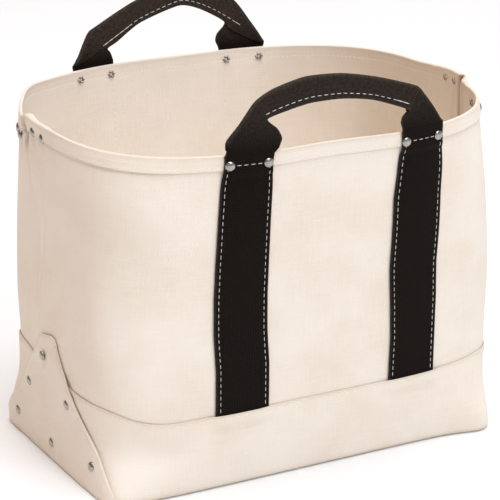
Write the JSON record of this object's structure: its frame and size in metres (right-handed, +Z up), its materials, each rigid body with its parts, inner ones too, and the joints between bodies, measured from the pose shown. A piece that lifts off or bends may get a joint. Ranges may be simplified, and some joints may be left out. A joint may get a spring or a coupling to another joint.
{
  "type": "canvas tool bag",
  "caption": "Open-topped oblong tote of heavy natural canvas with a doubled bottom, riveted corner ears and black webbing handles, for carrying tools.",
  "frame": {"origin": "middle of the bag's box, on the surface that it stands on", "axes": "+Z up, +X along the bag's length, to the right of someone who faces the front, -Y out of the front"},
  "size_m": [0.4346, 0.3119, 0.4004],
  "materials": {
    "canvas": "heavy undyed cotton duck, matt, plain weave",
    "webbing": "black cotton webbing, ribbed, matt",
    "rivet": "nickel-plated, smooth domed heads"
  },
  "bodies": {
    "root": {"body_canvas": "canvas", "bottom_boot": "canvas", "front_handle_strap": "webbing", "back_handle_strap": "webbing", "front_rivet_1": "rivet", "front_rivet_2": "rivet", "front_rivet_3": "rivet", "front_rivet_4": "rivet", "back_rivet_1": "rivet", "back_rivet_2": "rivet", "back_rivet_3": "rivet", "back_rivet_4": "rivet", "left_ear_rivet_1": "rivet", "left_ear_rivet_2": "rivet", "left_ear_rivet_3": "rivet", "left_ear_rivet_4": "rivet", "left_ear_rivet_5": "rivet", "left_ear_rivet_6": "rivet", "right_ear_rivet_1": "rivet", "right_ear_rivet_2": "rivet", "right_ear_rivet_3": "rivet", "right_ear_rivet_4": "rivet", "right_ear_rivet_5": "rivet", "right_ear_rivet_6": "rivet", "left_rim_rivet_1": "rivet", "left_rim_rivet_2": "rivet", "left_rim_rivet_3": "rivet", "left_rim_rivet_4": "rivet", "right_rim_rivet_1": "rivet", "right_rim_rivet_2": "rivet", "right_rim_rivet_3": "rivet", "right_rim_rivet_4": "rivet"}
  },
  "joints": []
}
